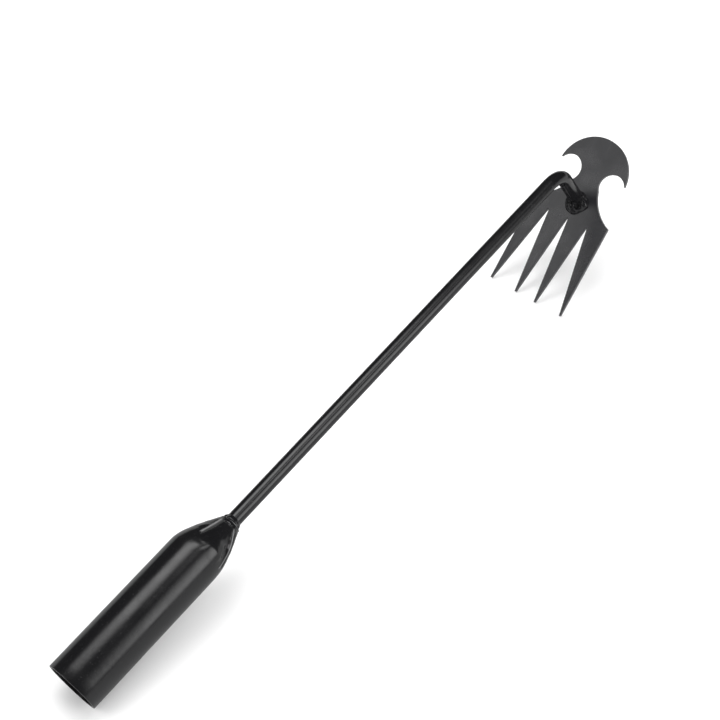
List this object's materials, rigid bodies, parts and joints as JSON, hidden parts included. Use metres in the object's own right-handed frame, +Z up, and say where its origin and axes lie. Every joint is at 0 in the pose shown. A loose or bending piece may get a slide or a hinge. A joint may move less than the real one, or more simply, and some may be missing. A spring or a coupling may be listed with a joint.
{
  "type": "hand cultivator",
  "caption": "Hand cultivator: a flat tined blade with a crescent hoe, welded to a cranked round bar whose other end is closed into a tubular socket for a wooden handle.",
  "frame": {"origin": "on the floor, under the middle of the tool's bounding box, as the tool lies by itself on the socket's rim and the tines' tips", "axes": "+X from the socket towards the blade, +Z up; the tool slopes up towards the blade by 10 degrees"},
  "size_m": [0.4784, 0.056, 0.0934],
  "materials": {
    "socket_paint": "black paint, semi-gloss, over drawn steel tube",
    "bar_paint": "black paint, semi-gloss, over rolled steel bar",
    "blade_paint": "thin satin dark grey coating over cut steel plate",
    "weld_paint": "black paint, glossy, over rippled weld metal"
  },
  "bodies": {
    "root": {"socket": "socket_paint", "shaft": "bar_paint", "blade": "blade_paint", "neck_weld": "weld_paint", "blade_weld": "weld_paint"}
  },
  "joints": []
}
